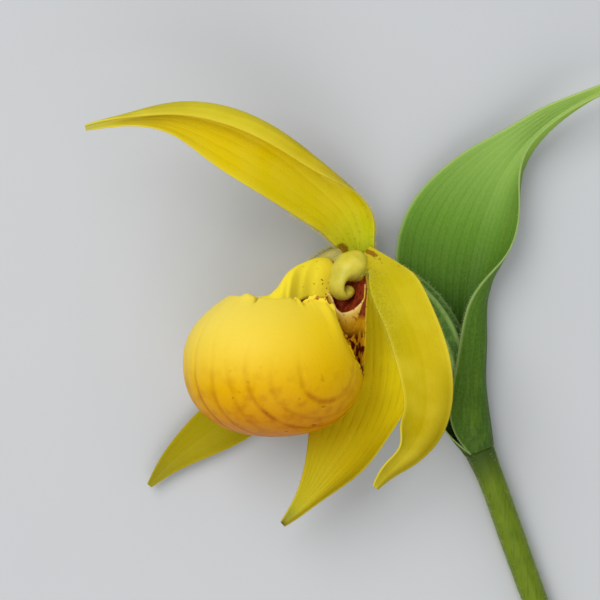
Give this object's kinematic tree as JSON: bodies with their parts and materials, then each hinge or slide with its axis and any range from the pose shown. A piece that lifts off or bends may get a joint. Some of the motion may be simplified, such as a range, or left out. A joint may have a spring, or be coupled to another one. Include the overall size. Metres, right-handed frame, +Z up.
{
  "type": "cypripedium orchid flower stem",
  "caption": "Picked stem of a yellow lady's slipper orchid with its leafy bract, lying on a surface: pouch lip, hooded sepal, twisted petals and short column.",
  "frame": {"origin": "middle of the lying flower stem's box, on the surface that it lies on", "axes": "+Z up from the surface; +Y from the stem's cut end towards the flower's top; -X the way the flower faces"},
  "size_m": [0.118, 0.1414, 0.0412],
  "materials": {
    "stem": "waxy green skin with short hairs",
    "ovary": "ribbed, softly hairy green skin",
    "bract": "matt leaf with parallel veins",
    "sepals": "soft satin petal skin",
    "petals": "soft satin petal skin",
    "lip": "waxy and slightly glossy, veined brown below",
    "column": "waxy pale yellow-green",
    "stigma": "moist, slightly glossy",
    "anthers": "grainy"
  },
  "bodies": {
    "root": {"stem": "stem", "ovary": "ovary", "bract": "bract", "dorsal_sepal": "sepals", "synsepal": "sepals", "petal_left": "petals", "petal_right": "petals", "lip": "lip", "column": "column", "staminode": "column", "stigma": "stigma", "anther_left": "anthers", "anther_right": "anthers"}
  },
  "joints": []
}
